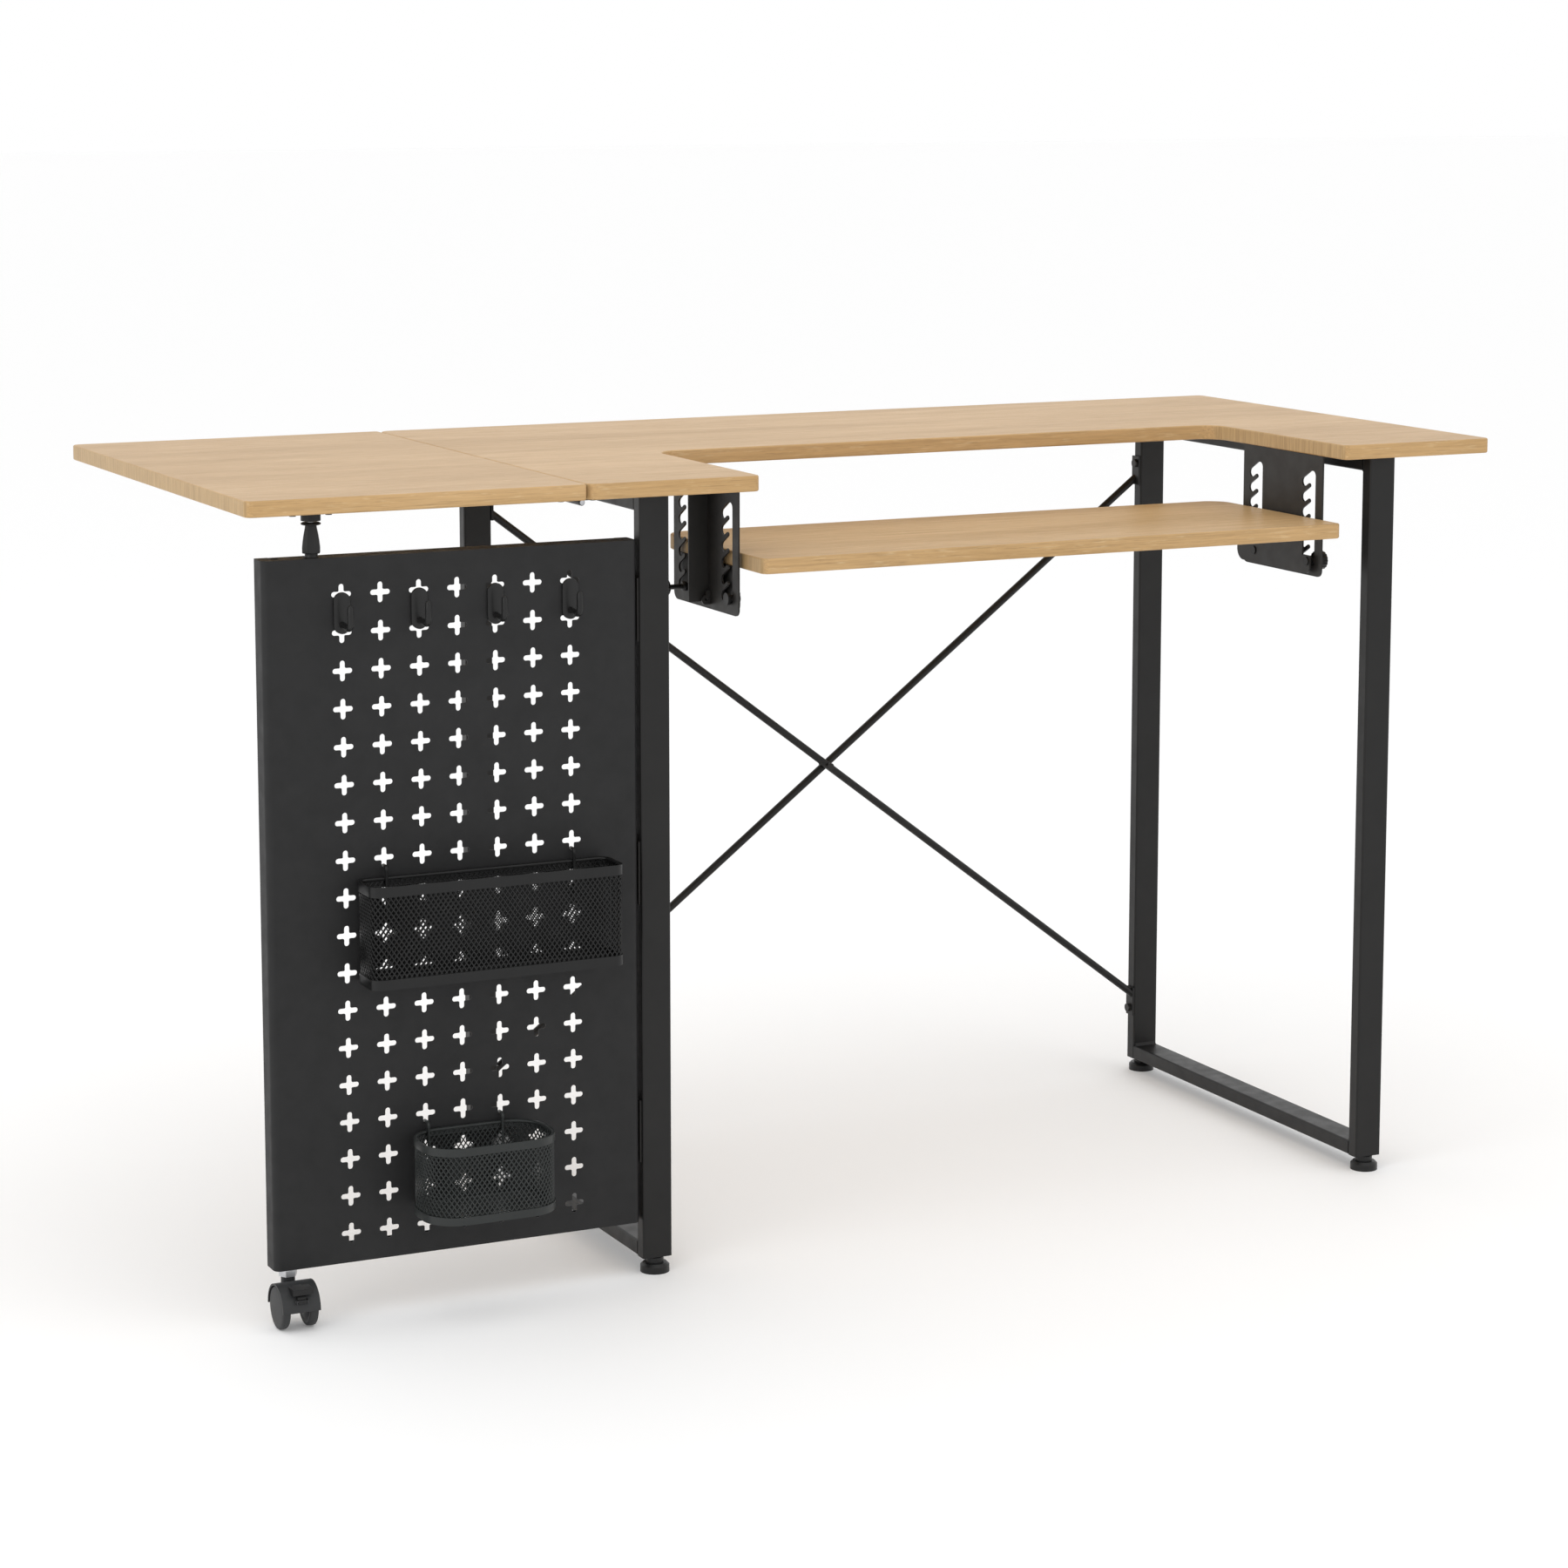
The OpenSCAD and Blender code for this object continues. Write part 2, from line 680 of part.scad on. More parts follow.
module peg_hook(x) {
  z0 = cross_z - cross_pz;
  xz_plate(py0 - 2.5, py0) {
    translate([x - 8, z0 + 7]) square([16, cross_pz - 13]);
    for (z = [z0 + 7, cross_z - 6]) translate([x, z]) circle(8);
  }
  ycyl(py0 - 24, py0 - 1, x, z0 + 6, 5.4);
  zcyl(x, py0 - 24, z0 + 3, z0 + 27.5, 6);
  // Tongues through the crosses
  for (z = [z0 + 4, cross_z - 4]) ycyl(py0 - 1, py0 + 5, x, z, 4);
}

module peg_hooks() {
  color(black) for (i = [0, 2, 4, 6]) peg_hook(column_x(i));
}

// ---------- baskets ----------

basket_y1 = -263;
large_y0 = basket_y1 - basket_d;
small_y0 = basket_y1 - small_d;

module basket_shell(x0, x1, y0, y1, z0, z1, r) {
  color(dark) {
    xy_plate(z0 + 1.5, z1) difference() {
      rrect(x0 + 1, y0 + 1, x1 - 1, y1 - 1, r - 1);
      rrect(x0 + 2.2, y0 + 2.2, x1 - 2.2, y1 - 2.2, r - 2.2);
    }
    xy_plate(z0, z0 + 1.5) rrect(x0 + 1, y0 + 1, x1 - 1, y1 - 1, r - 1);
  }
}

module basket_bands(x0, x1, y0, y1, z0, z1, r, h) {
  color(dark) for (z = [z0, z1 - h]) xy_plate(z, z + h) difference() {
    rrect(x0, y0, x1, y1, r);
    rrect(x0 + 1, y0 + 1, x1 - 1, y1 - 1, r - 1);
  }
}

// A wire from the basket's back wall, through a cross and down behind the sheet
module basket_wire(x, z, wall, foot) {
  ycyl(wall, py0 + 5, x, z, 3);
  zcyl(x, wall, foot, z + 1.5, 3);
  zcyl(x, py0 + 5, z - 7, z + 1.5, 3);
}

large_x0 = -565;
large_x1 = -317;
large_z = 316;
large_r = 10;
small_x0 = -521.5;
small_x1 = -393;
small_z = 98;
small_r = 32;
wire_in = 3.8;

module large_basket() {
  basket_shell(large_x0, large_x1, large_y0, basket_y1, large_z, large_z + basket_h, large_r);
}

module large_basket_bands() {
  basket_bands(large_x0, large_x1, large_y0, basket_y1, large_z, large_z + basket_h, large_r, 9.5);
}

module large_basket_wires() {
  z = cross_z - 7 * cross_pz - cross_w / 2 + 2;
  color(dark) for (i = [0, 5]) basket_wire(column_x(i), z, basket_y1 - wire_in, large_z + 60);
}

module small_basket() {
  basket_shell(small_x0, small_x1, small_y0, basket_y1, small_z, small_z + small_h, small_r);
}

module small_basket_bands() {
  basket_bands(small_x0, small_x1, small_y0, basket_y1, small_z, small_z + small_h, small_r, 7.5);
}

module small_basket_wires() {
  z = cross_z - 14 * cross_pz - cross_w / 2 + 2;
  // The outer wire stands where the corner has begun to turn in
  color(dark) for (w = [[2, 0], [4, 1.65]])
    basket_wire(column_x(w[0]), z, basket_y1 - wire_in - w[1], small_z + 45);
}

// ---------- caster ----------

module caster_stem() {
  color(zinc) zcyl(cast_x, cast_y, 28, panel_bottom + 10, 8);
}

module caster_nut() {
  color(zinc) difference() {
    union() {
      zcyl(cast_x, cast_y, panel_bottom - 2, panel_bottom, 19);
      translate([cast_x, cast_y, panel_bottom - 8]) cylinder(h = 6.5, d = 17.5, $fn = 6);
      translate([cast_x, cast_y, panel_bottom + sheet_t]) cylinder(h = 6, d = 15, $fn = 6);
    }
    zcyl(cast_x, cast_y, panel_bottom - 9, panel_bottom + 9, 8.1);
  }
}

module hood_outline(r) {
  intersection() {
    translate([axle_y, axle_z]) circle(r);
    translate([axle_y - 30, axle_z - 0.5]) square([60, 60]);
  }
}

module caster_hood() {
  color(black) difference() {
    union() {
      yz_plate(cast_x - hood_w / 2, cast_x + hood_w / 2) difference() {
        hood_outline(hood_r);
        translate([axle_y, axle_z]) circle(hood_r - 1.8);
      }
      yz_plate(cast_x - 6, cast_x + 6) {
        hood_outline(hood_r - 0.5);
        translate([axle_y, axle_z]) circle(6);
      }
      zcyl(cast_x, cast_y, 24, 43.4, 13);
      for (x = [cast_x - 5.9, cast_x + 4.5]) {
        box(x, x + 1.4, lever_y - 1.9, axle_y - hood_r + 4.1, lever_z - 2, lever_z + 1.6);
      }
    }
    zcyl(cast_x, cast_y, 27.4, 45, 8.1);
    xcyl(cast_x - 7, cast_x + 7, axle_y, axle_z, 5.1);
    xcyl(cast_x - 7, cast_x + 7, lever_y, lever_z, 2.1);
  }
}

lever_z = 30;
lever_y = axle_y - sqrt(lever_r * lever_r - (lever_z - axle_z) * (lever_z - axle_z));
wheel_w = 8.7;
wheel_end = hood_w / 2 - 0.1;

module caster_axle() {
  color(zinc) xcyl(cast_x - wheel_end + 2.3, cast_x + wheel_end - 2.3, axle_y, axle_z, 5);
}

module caster_wheel(x0, out) {
  x1 = x0 + wheel_w;
  color(black) difference() {
    union() {
      xcyl(x0 + 1.5, x1 - 1.5, axle_y, axle_z, wheel_dia);
      translate([x0, axle_y, axle_z]) rotate([0, 90, 0])
        cylinder(h = 1.5, d1 = wheel_dia - 3, d2 = wheel_dia);
      translate([x1 - 1.5, axle_y, axle_z]) rotate([0, 90, 0])
        cylinder(h = 1.5, d1 = wheel_dia, d2 = wheel_dia - 3);
    }
    xcyl(out < 0 ? x0 + 2 : x0 - 1, out < 0 ? x1 + 1 : x1 - 2, axle_y, axle_z, 5.1);
  }
}

module caster_left_wheel() { caster_wheel(cast_x - wheel_end, -1); }
module caster_right_wheel() { caster_wheel(cast_x + wheel_end - wheel_w, 1); }

// A strip over the hood with a ledge to press on at its top
module caster_brake_lever() {
  color(black) difference() {
    union() {
      yz_plate(cast_x - 4, cast_x + 4) {
        difference() {
          translate([axle_y, axle_z]) circle(lever_r + 0.2);
          translate([axle_y, axle_z]) circle(hood_r + 0.5);
          translate([axle_y - 40, -20]) square([80, 20 + lever_z]);
          translate([axle_y - 40, axle_z + 21.6]) square([80, 40]);
          translate([axle_y - 7, -20]) square([40, 80]);
        }
        translate([lever_y, lever_z]) circle(d = 4);
      }
      yz_plate(cast_x - 8.7, cast_x + 10.7) difference() {
        translate([axle_y - 23.5, axle_z + 16.2]) square([14, 5.4]);
        translate([axle_y, axle_z]) circle(hood_r + 0.5);
      }
    }
    xcyl(cast_x - 5, cast_x + 5, lever_y, lever_z, 2.1);
  }
}

module caster_lever_pin() {
  color(zinc) xcyl(cast_x - 5.9, cast_x + 5.9, lever_y, lever_z, 2);
}

// ---------- everything in its place ----------

module placed() { translate([0, y_mid, 0]) children(); }

placed() main_top();
placed() drop_leaf();
placed() leaf_hinge_main();
placed() leaf_hinge_leaf();
placed() leaf_hinge_pins();
placed() front_left_leg();
placed() front_right_leg();
placed() rear_left_leg();
placed() rear_right_leg();
placed() left_top_rail();
placed() right_top_rail();
placed() left_bottom_rail();
placed() right_bottom_rail();
placed() wood_screws();
placed() rail_screws();
placed() foot_inserts();
placed() front_left_foot();
placed() front_right_foot();
placed() rear_left_foot();
placed() rear_right_foot();
placed() brace_rod_a();
placed() brace_rod_b();
placed() brace_screws();
placed() left_notch_plate();
placed() right_notch_plate();
placed() platform_board();
placed() left_slide_plate();
placed() right_slide_plate();
placed() slide_studs();
placed() platform_screws();
placed() left_clamp_knob();
placed() right_clamp_knob();
placed() panel_sheet();
placed() panel_left_edge();
placed() panel_right_edge();
placed() panel_top_edge();
placed() panel_bottom_edge();
placed() panel_hinge_leg();
placed() panel_hinge_panel();
placed() panel_hinge_pins();
placed() pin_receiver();
placed() lock_housing();
placed() lock_pin();
placed() peg_hooks();
placed() large_basket();
placed() large_basket_bands();
placed() large_basket_wires();
placed() small_basket();
placed() small_basket_bands();
placed() small_basket_wires();
placed() caster_stem();
placed() caster_nut();
placed() caster_hood();
placed() caster_axle();
placed() caster_left_wheel();
placed() caster_right_wheel();
placed() caster_brake_lever();
placed() caster_lever_pin();
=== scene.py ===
import json
import math

import bmesh
import bpy
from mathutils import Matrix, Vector


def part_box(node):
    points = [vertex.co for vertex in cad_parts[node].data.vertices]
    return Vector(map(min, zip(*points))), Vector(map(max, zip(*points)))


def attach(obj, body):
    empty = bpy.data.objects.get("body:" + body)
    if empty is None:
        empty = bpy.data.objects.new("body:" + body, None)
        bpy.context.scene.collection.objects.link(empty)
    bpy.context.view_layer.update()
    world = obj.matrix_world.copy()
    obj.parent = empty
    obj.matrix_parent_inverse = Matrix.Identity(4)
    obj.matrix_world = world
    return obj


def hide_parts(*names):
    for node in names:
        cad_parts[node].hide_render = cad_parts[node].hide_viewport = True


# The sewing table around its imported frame. Its sizes and places are in the table's own
# millimetres, with x across the top, y to the back and z up, and at() turns them into the row
# frame's metres. The camera, the floor and the lights are in the row frame's metres.

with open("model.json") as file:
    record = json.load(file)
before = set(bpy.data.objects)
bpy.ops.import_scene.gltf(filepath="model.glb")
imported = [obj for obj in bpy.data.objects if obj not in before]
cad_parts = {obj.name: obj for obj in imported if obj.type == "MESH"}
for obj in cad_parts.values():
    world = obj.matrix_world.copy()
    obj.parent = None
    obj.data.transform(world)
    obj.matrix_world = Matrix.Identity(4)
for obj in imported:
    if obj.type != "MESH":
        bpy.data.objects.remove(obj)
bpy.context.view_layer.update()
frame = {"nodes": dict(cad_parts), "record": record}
NODES = frame["nodes"]
MM = 0.001
Y_MID = 26.0  # the table's own origin lies this far behind the row frame's


def at(x, y, z):
    """A place in the table's own millimetres as metres in the row frame."""
    return Vector((x * MM, (y + Y_MID) * MM, z * MM))


def box_mm(node):
    """A CAD node's box as x0, x1, y0, y1, z0, z1 in the table's own millimetres."""
    lo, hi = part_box(node)
    origin = (0, Y_MID, 0)
    return [round(corner[k] / MM - origin[k], 3) for k in range(3) for corner in (lo, hi)]


# ---------------------------------------------------------------- shader nodes

def new_material(name):
    material = bpy.data.materials.new(name)
    material.use_nodes = True
    tree = material.node_tree
    return material, tree, tree.nodes["Principled BSDF"]


def add_node(tree, kind, **settings):
    node = tree.nodes.new(kind)
    for key, value in settings.items():
        setattr(node, key, value)
    return node


def mapped(tree, scale=(1, 1, 1), offset=(0, 0, 0)):
    """Object coordinates, scaled and moved."""
    coords = add_node(tree, "ShaderNodeTexCoord")
    mapping = add_node(tree, "ShaderNodeMapping")
    mapping.inputs["Scale"].default_value = scale
    mapping.inputs["Location"].default_value = offset
    tree.links.new(coords.outputs["Object"], mapping.inputs["Vector"])
    return mapping.outputs["Vector"]


def noise(tree, vector, scale, detail=3.0, rough=0.5, distort=0.0):
    node = add_node(tree, "ShaderNodeTexNoise")
    node.inputs["Scale"].default_value = scale
    node.inputs["Detail"].default_value = detail
    node.inputs["Roughness"].default_value = rough
    node.inputs["Distortion"].default_value = distort
    tree.links.new(vector, node.inputs["Vector"])
    return node.outputs["Fac"]


def ramp(tree, factor, *stops):
    """A colour ramp. Each stop is a place and a colour, or one number for a grey."""
    node = add_node(tree, "ShaderNodeValToRGB")
    elements = node.color_ramp.elements
    while len(elements) < len(stops):
        elements.new(0.5)
    for element, (place, colour) in zip(elements, stops):
        rgb = colour if isinstance(colour, tuple) else (colour,) * 3
        element.position = place
        element.color = (*rgb, 1)
    tree.links.new(factor, node.inputs["Fac"])
    return node.outputs["Color"]


def mix(tree, kind, factor, a, b):
    """Mixes two colours; a number or a tuple is set, and a socket is linked."""
    node = add_node(tree, "ShaderNodeMix", data_type="RGBA", blend_type=kind)
    for socket, value in ((node.inputs["Factor"], factor), (node.inputs[6], a), (node.inputs[7], b)):
        if isinstance(value, (int, float)):
            socket.default_value = value
        elif isinstance(value, tuple):
            socket.default_value = (*value, 1)
        else:
            tree.links.new(value, socket)
    return node.outputs[2]


def bump(tree, height, strength, distance):
    node = add_node(tree, "ShaderNodeBump")
    node.inputs["Strength"].default_value = strength
    node.inputs["Distance"].default_value = distance
    tree.links.new(height, node.inputs["Height"])
    return node.outputs["Normal"]


def dress(tree, shader, colour, rough, normal):
    """Links the three sockets that every material here varies over its surface."""
    tree.links.new(colour, shader.inputs["Base Color"])
    tree.links.new(rough, shader.inputs["Roughness"])
    tree.links.new(normal, shader.inputs["Normal"])


# ---------------------------------------------------------------- materials

OAK_PALE, OAK_DEEP = (0.585, 0.380, 0.184), (0.490, 0.303, 0.129)
OAK_FLECK = (0.80, 0.62, 0.40)
END_DEEP, END_PALE = (0.350, 0.228, 0.108), (0.515, 0.352, 0.176)
WOOD_GLOSS, POWDER_GLOSS, PLASTIC_GLOSS = 0.18, 0.30, 0.34


def tinted(colour, tint):
    return tuple(c * tint for c in colour)


def end_mask(tree):
    """White where a face looks along x, as the short ends of the boards do."""
    coords = add_node(tree, "ShaderNodeTexCoord")
    axes = add_node(tree, "ShaderNodeSeparateXYZ")
    size = add_node(tree, "ShaderNodeMath", operation="ABSOLUTE")
    tree.links.new(coords.outputs["Normal"], axes.inputs["Vector"])
    tree.links.new(axes.outputs["X"], size.inputs[0])
    return ramp(tree, size.outputs[0], (0.72, 0), (0.86, 1))


def wood_material(name, tint, seed):
    """Light oak foil: fine long grain on the faces and long edges, upright streaks on the ends."""
    material, tree, shader = new_material(name)
    place = (seed * 3.1, seed * 1.7, seed * 0.6)
    figure = noise(tree, mapped(tree, (0.8, 7, 7), place), 2.2, 3, 0.5, 0.6)
    fibres = noise(tree, mapped(tree, (5.0, 170, 170), place), 3.0, 5, 0.7, 0.15)
    pores = noise(tree, mapped(tree, (22, 620, 620), place), 2.0, 2, 0.55)
    flecks = noise(tree, mapped(tree, (34, 300, 300), (place[1], place[0], 3)), 1.6, 2, 0.5)
    ends = noise(tree, mapped(tree, (90, 260, 7), place), 3.2, 4, 0.65, 0.1)
    face = mix(tree, "MIX", ramp(tree, figure, (0.34, 0), (0.66, 1)),
               tinted(OAK_PALE, tint), tinted(OAK_DEEP, tint))
    streak = ramp(tree, fibres, (0.34, 0.76), (0.52, 0.95), (0.70, 1.06))
    face = mix(tree, "MULTIPLY", 0.85, face, streak)
    pore = ramp(tree, pores, (0.30, 0.66), (0.40, 1))
    face = mix(tree, "MULTIPLY", 0.60, face, pore)
    face = mix(tree, "SCREEN", ramp(tree, flecks, (0.60, 0), (0.72, 0.16)), face, OAK_FLECK)
    end = mix(tree, "MIX", ramp(tree, ends, (0.36, 0), (0.62, 1)), END_DEEP, END_PALE)
    dress(tree, shader, mix(tree, "MIX", end_mask(tree), face, end),
          ramp(tree, fibres, (0.3, 0.44), (0.7, 0.32)),
          bump(tree, mix(tree, "MULTIPLY", 1.0, streak, pore), 0.25, 0.0004))
    shader.inputs["Specular IOR Level"].default_value = WOOD_GLOSS
    return material


def powder_material(name, colour, rough):
    """Fine textured powder coat on steel, a little rubbed."""
    material, tree, shader = new_material(name)
    cloud = noise(tree, mapped(tree, offset=(3, 1, 2)), 22, 4, 0.6)
    rubbed = noise(tree, mapped(tree, offset=(5, 5, 5)), 60, 4)
    speck = noise(tree, mapped(tree), 1500, 2, 0.5)
    dress(tree, shader, mix(tree, "MULTIPLY", 1.0, colour, ramp(tree, cloud, (0.3, 0.86), (0.7, 1.12))),
          ramp(tree, rubbed, (0.3, rough - 0.05), (0.7, rough + 0.07)),
          bump(tree, speck, 0.16, 0.00025))
    shader.inputs["Specular IOR Level"].default_value = POWDER_GLOSS
    return material


def zinc_material(name):
    """Bright zinc plate with a soft, uneven shine."""
    material, tree, shader = new_material(name)
    cloud = noise(tree, mapped(tree), 160, 4, 0.6)
    dress(tree, shader, ramp(tree, cloud, (0.3, (0.46, 0.47, 0.49)), (0.7, (0.66, 0.66, 0.67))),
          ramp(tree, cloud, (0.3, 0.40), (0.7, 0.26)),
          bump(tree, noise(tree, mapped(tree), 900, 2), 0.1, 0.0002))
    shader.inputs["Metallic"].default_value = 1.0
    return material


def plastic_material(name, colour, rough):
    """Moulded plastic with a faint grain."""
    material, tree, shader = new_material(name)
    cloud = noise(tree, mapped(tree, offset=(2, 7, 1)), 35, 3)
    dress(tree, shader, mix(tree, "MULTIPLY", 1.0, colour, ramp(tree, cloud, (0.3, 0.85), (0.7, 1.15))),
          ramp(tree, cloud, (0.3, rough), (0.7, rough + 0.1)),
          bump(tree, noise(tree, mapped(tree), 1200, 2), 0.12, 0.0002))
    shader.inputs["Specular IOR Level"].default_value = PLASTIC_GLOSS
    return material


WOOD_MAIN = wood_material("oak_main", 1.0, 0.0)
WOOD_LEAF = wood_material("oak_leaf", 0.98, 1.3)
WOOD_LIFT = wood_material("oak_platform", 0.97, 2.4)
BLACK = powder_material("black_powder", (0.0088, 0.0084, 0.0081), 0.40)
PANEL = powder_material("panel_powder", (0.0132, 0.0132, 0.0136), 0.56)
PLATE = powder_material("plate_powder", (0.0190, 0.0178, 0.0165), 0.44)
WIRE_LARGE = powder_material("basket_powder", (0.0078, 0.0079, 0.0080), 0.34)
WIRE_SMALL = powder_material("small_basket_powder", (0.0235, 0.0262, 0.0256), 0.36)
ZINC = zinc_material("zinc_plate")
PLASTIC = plastic_material("black_plastic", (0.0085, 0.0085, 0.0085), 0.34)
HOOD = plastic_material("hood_plastic", (0.0270, 0.0280, 0.0290), 0.46)
TREAD = plastic_material("wheel_tread", (0.030, 0.031, 0.032), 0.50)

SLOT_MATERIAL = {"top_board": WOOD_MAIN, "black_metal": BLACK, "grey_metal": PLATE,
                 "zinc_steel": ZINC, "black_plastic": PLASTIC}
NODE_MATERIAL = {"caster_hood": HOOD, "caster_brake_lever": PLASTIC,
                 "large_basket": WIRE_LARGE, "small_basket": WIRE_SMALL}
NODE_MATERIAL |= {f"panel_{side}_edge": PANEL for side in ("left", "right", "top", "bottom")}
NODE_MATERIAL |= {screws: BLACK for screws in ("rail_screws", "wood_screws", "platform_screws",
                                               "slide_studs")}

for subpart in frame["record"]["subparts"]:
    slots = NODES[subpart["node"]].data.materials
    slots.clear()
    slots.append(NODE_MATERIAL.get(subpart["node"], SLOT_MATERIAL[subpart["material_slot"]]))


# ---------------------------------------------------------------- softened edges

def add_bevel(piece, width, segments=2, angle=35):
    edge = piece.modifiers.new("edge", "BEVEL")
    edge.width = width * MM
    edge.segments = segments
    edge.limit_method = "ANGLE"
    edge.angle_limit = math.radians(angle)
    return edge


CORNERS = ("front_left", "front_right", "rear_left", "rear_right")
EDGE_WIDTH = {"pin_receiver": 0.6, "caster_hood": 0.5, "caster_nut": 0.5, "caster_brake_lever": 0.4,
              "panel_hinge_leg": 0.3, "panel_hinge_panel": 0.3}
for corner in CORNERS:
    EDGE_WIDTH |= {f"{corner}_leg": 1.5, f"{corner}_foot": 0.8}
for side in ("left", "right"):
    EDGE_WIDTH |= {f"{side}_top_rail": 1.2, f"{side}_bottom_rail": 1.2,
                   f"{side}_notch_plate": 0.35, f"{side}_slide_plate": 0.35}
for node, width in EDGE_WIDTH.items():
    add_bevel(NODES[node], width)


# ---------------------------------------------------------------- mesh helpers

def link_new(name, data):
    ob = bpy.data.objects.new(name, data)
    bpy.context.scene.collection.objects.link(ob)
    return ob


def to_mesh(bm, name):
    """Ends the bmesh bm as a mesh with its normals outwards."""
    bmesh.ops.recalc_face_normals(bm, faces=bm.faces)
    mesh = bpy.data.meshes.new(name)
    bm.to_mesh(mesh)
    bm.free()
    return mesh


def finish_piece(name, mesh, material, body, node, angle=35, bevel=0.0, segments=2):
    """A smooth piece with edges sharper than angle kept, riding on body in place of node."""
    piece = link_new(name, mesh)
    mesh.materials.clear()
    mesh.materials.append(material)
    for face in mesh.polygons:
        face.use_smooth = True
    bm = bmesh.new()
    bm.from_mesh(mesh)
    for edge in bm.edges:
        if len(edge.link_faces) == 2 and edge.calc_face_angle(0) > math.radians(angle):
            edge.smooth = False
    bm.to_mesh(mesh)
    bm.free()
    if bevel:
        add_bevel(piece, bevel, segments, angle).harden_normals = True
    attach(piece, body)
    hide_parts(node)


def round_outline(corners, step=7.5):
    """A closed outline through corners (x, y, radius), its arcs cut every step degrees."""
    points = []
    for i, (x, y, r) in enumerate(corners):
        corner = Vector((x, y))
        back = (Vector(corners[i - 1][:2]) - corner).normalized()
        ahead = (Vector(corners[(i + 1) % len(corners)][:2]) - corner).normalized()
        half = back.angle(ahead) / 2
        centre = corner + (back + ahead).normalized() * (r / math.sin(half))
        start = corner + back * (r / math.tan(half)) - centre
        end = corner + ahead * (r / math.tan(half)) - centre
        turn = start.angle_signed(end)
        cuts = max(2, int(abs(math.degrees(turn)) / step))
        for j in range(cuts + 1):
            c, s = math.cos(-turn * j / cuts), math.sin(-turn * j / cuts)
            points.append((centre.x + start.x * c - start.y * s,
                           centre.y + start.x * s + start.y * c))
    return points


def skin(bm, rings, closed=False):
    """Faces between neighbouring rings of vertices, with an end cap on each end of an open run."""
    pairs = list(zip(rings, rings[1:]))
    if closed:
        pairs.append((rings[-1], rings[0]))
    for a, b in pairs:
        for k in range(len(a)):
            j = (k + 1) % len(a)
            bm.faces.new((a[k], a[j], b[j], b[k]))
    if not closed:
        bm.faces.new(rings[0][::-1])
        bm.faces.new(rings[-1])


def tube_into(bm, path, radius, sides, closed=False):
    """A round tube in bm along path, in metres, with one radius in mm or one for each point."""
    n = len(path)
    radii = radius if isinstance(radius, list) else [radius] * n
    rings = []
    up = None
    for i, point in enumerate(path):
        before = path[(i - 1) % n] if closed or i > 0 else point
        after = path[(i + 1) % n] if closed or i < n - 1 else point
        along = (after - before).normalized()
        if up is None:
            up = along.orthogonal().normalized()
        up = (up - along * up.dot(along)).normalized()
        side = along.cross(up)
        turns = [2 * math.pi * k / sides for k in range(sides)]
        rings.append([bm.verts.new(point + (up * math.cos(a) + side * math.sin(a)) * (radii[i] * MM))
                      for a in turns])
    skin(bm, rings, closed)


def lathe_into(bm, profile, origin, axis, sides, flutes, depth):
    """Turns profile (along, radius) about axis in bm; flutes press the wide part in by depth."""
    along = Vector(axis)
    u = along.orthogonal().normalized()
    v = along.cross(u)
    widest = max(r for _, r in profile)
    rings = []
    for distance, r in profile:
        ring = []
        for k in range(sides):
            a = 2 * math.pi * k / sides
            press = depth * (0.5 - 0.5 * math.cos(flutes * a)) if r > 0.6 * widest else 0.0
            reach = (u * math.cos(a) + v * math.sin(a)) * (r - press) * MM
            ring.append(bm.verts.new(origin + along * distance * MM + reach))
        rings.append(ring)
    skin(bm, rings)


# ---------------------------------------------------------------- boards

MAIN_X0, MAIN_X1, MAIN_Y0, MAIN_Y1, TOP_Z0, TOP_Z1 = box_mm("main_top")
LEAF_X0, LEAF_X1 = box_mm("drop_leaf")[:2]
LIFT_X0, LIFT_X1, LIFT_Y0, LIFT_Y1, LIFT_Z0, LIFT_Z1 = box_mm("platform_board")
SEAM_EASE = 0.6   # each board at the seam is this much longer than its CAD solid, for a fine line
CUT_PLAY = 2      # between the platform and each side of the cut-out
CUT_BACK = -25    # the cut-out's rear edge
TIP_R = 8         # the corners at the ends of the boards and at the cut-out's mouth
SEAM_R, SEAM_LEAF_R = 12, 4
CUT_R, LIFT_R = 25, 24
EDGE_ROUND, EDGE_STEPS = 1.6, 4


def board(name, node, material, body, corners, z0, z1):
    """A flat board with rounded corners and a softened edge all round."""
    bm = bmesh.new()
    outline = round_outline(corners)
    skin(bm, [[bm.verts.new(at(x, y, z)) for x, y in outline] for z in (z0, z1)])
    finish_piece(name, to_mesh(bm, name), material, body, node,
                 bevel=EDGE_ROUND, segments=EDGE_STEPS)


seam_main, seam_leaf = MAIN_X0 - SEAM_EASE, LEAF_X1 + SEAM_EASE
cut_x0, cut_x1 = LIFT_X0 - CUT_PLAY, LIFT_X1 + CUT_PLAY
board("main_board", "main_top", WOOD_MAIN, "frame",
      [(seam_main, MAIN_Y0, SEAM_R), (cut_x0, MAIN_Y0, TIP_R), (cut_x0, CUT_BACK, CUT_R),
       (cut_x1, CUT_BACK, CUT_R), (cut_x1, MAIN_Y0, TIP_R), (MAIN_X1, MAIN_Y0, TIP_R),
       (MAIN_X1, MAIN_Y1, TIP_R), (seam_main, MAIN_Y1, SEAM_R)], TOP_Z0, TOP_Z1)
board("leaf_board", "drop_leaf", WOOD_LEAF, "frame",
      [(LEAF_X0, MAIN_Y0, TIP_R), (seam_leaf, MAIN_Y0, SEAM_LEAF_R),
       (seam_leaf, MAIN_Y1, SEAM_LEAF_R), (LEAF_X0, MAIN_Y1, TIP_R)], TOP_Z0, TOP_Z1)
